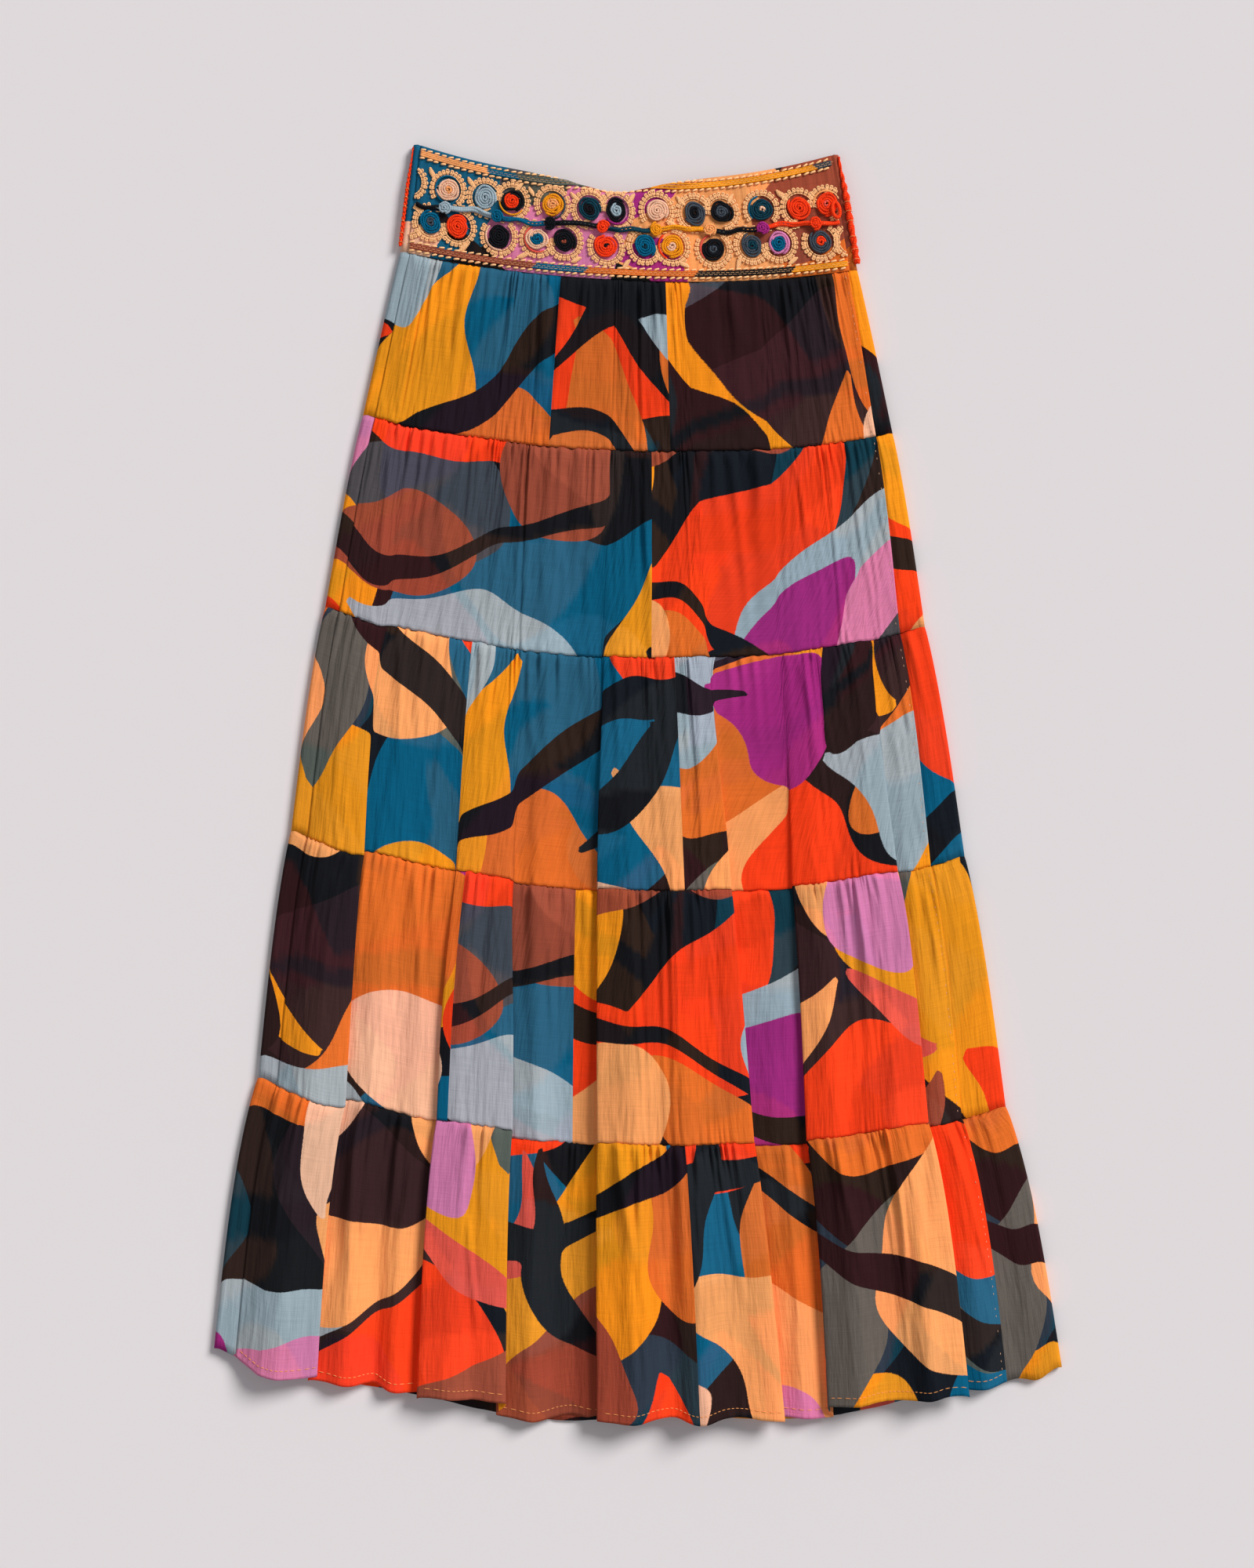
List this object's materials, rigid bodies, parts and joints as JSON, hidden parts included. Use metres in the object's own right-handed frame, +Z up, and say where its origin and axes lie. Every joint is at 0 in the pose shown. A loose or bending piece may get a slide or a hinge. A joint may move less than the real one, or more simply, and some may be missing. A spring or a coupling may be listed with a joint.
{
  "type": "embroidered skirt",
  "caption": "Long tiered skirt laid flat, with gathered printed tiers, raised folds and a wide embroidered waistband edged with braid.",
  "frame": {"origin": "bottom centre of the box, on the surface that the skirt lies on", "axes": "+Z up from the surface, +Y towards the waist, +X to the right of the front as seen from above"},
  "size_m": [0.6716, 1.0093, 0.0226],
  "materials": {
    "printed_cloth": "thin printed cotton, slubby and crinkled",
    "band_cloth": "printed cotton, pressed flat",
    "braid_cord": "couched cotton cords with running stitches",
    "vine_cord": "two-ply cotton cord",
    "rosette_cord": "coiled cotton cord in several colours",
    "side_cord": "twisted cotton cord, overcast"
  },
  "bodies": {
    "root": {"waistband_front": "band_cloth", "waistband_back": "band_cloth", "tier_1_front": "printed_cloth", "tier_1_back": "printed_cloth", "tier_2_front": "printed_cloth", "tier_2_back": "printed_cloth", "tier_3_front": "printed_cloth", "tier_3_back": "printed_cloth", "tier_4_front": "printed_cloth", "tier_4_back": "printed_cloth", "tier_5_front": "printed_cloth", "tier_5_back": "printed_cloth", "braid_waist_edge": "braid_cord", "braid_waist_seam": "braid_cord", "vine_cord": "vine_cord", "rosette_01": "rosette_cord", "rosette_02": "rosette_cord", "rosette_03": "rosette_cord", "rosette_04": "rosette_cord", "rosette_05": "rosette_cord", "rosette_06": "rosette_cord", "rosette_07": "rosette_cord", "rosette_08": "rosette_cord", "rosette_09": "rosette_cord", "rosette_10": "rosette_cord", "rosette_11": "rosette_cord", "rosette_12": "rosette_cord", "rosette_13": "rosette_cord", "rosette_14": "rosette_cord", "rosette_15": "rosette_cord", "rosette_16": "rosette_cord", "rosette_17": "rosette_cord", "rosette_18": "rosette_cord", "rosette_19": "rosette_cord", "rosette_20": "rosette_cord", "rosette_21": "rosette_cord", "rosette_22": "rosette_cord", "rosette_23": "rosette_cord", "rosette_24": "rosette_cord", "hub_1": "rosette_cord", "hub_2": "rosette_cord", "hub_3": "rosette_cord", "hub_4": "rosette_cord", "hub_5": "rosette_cord", "hub_6": "rosette_cord", "hub_7": "rosette_cord", "hub_8": "rosette_cord", "side_cord_left": "side_cord", "side_cord_right": "side_cord"}
  },
  "joints": []
}
